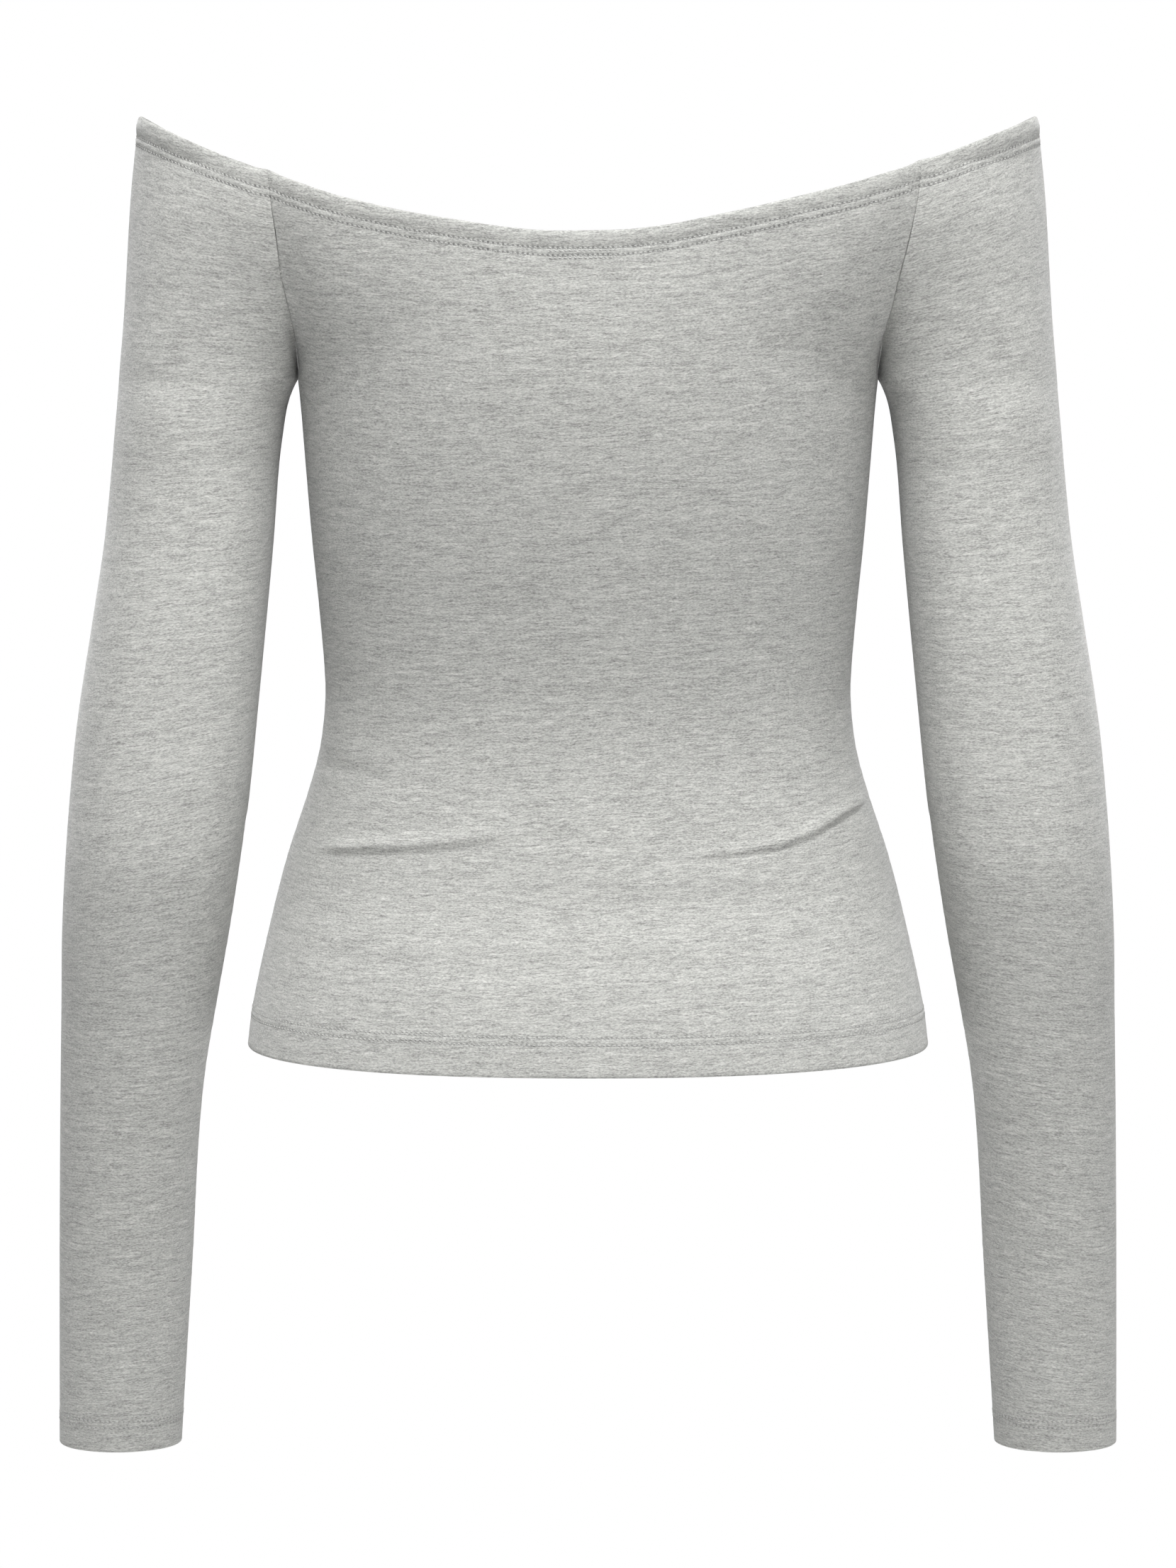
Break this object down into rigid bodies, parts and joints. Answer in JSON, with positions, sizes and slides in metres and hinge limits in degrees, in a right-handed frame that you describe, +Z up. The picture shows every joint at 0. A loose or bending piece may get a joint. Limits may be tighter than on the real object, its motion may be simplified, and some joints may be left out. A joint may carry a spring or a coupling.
{
  "type": "off-shoulder top",
  "caption": "Fitted off-shoulder top with long sleeves, in grey melange jersey, filled out as if worn, with open neck, hem and cuffs.",
  "frame": {"origin": "the middle of the neck opening, at the height of the back's top edge, where the wearer's upper arms hold it", "axes": "+Z up along the wearer's spine, -Y out of the garment's back, +X to the wearer's right"},
  "size_m": [0.4944, 0.2137, 0.6163],
  "materials": {
    "jersey": "matt cotton jersey, grey melange"
  },
  "bodies": {
    "root": {"back": "jersey", "front": "jersey", "sleeve_left": "jersey", "sleeve_right": "jersey"}
  },
  "joints": []
}
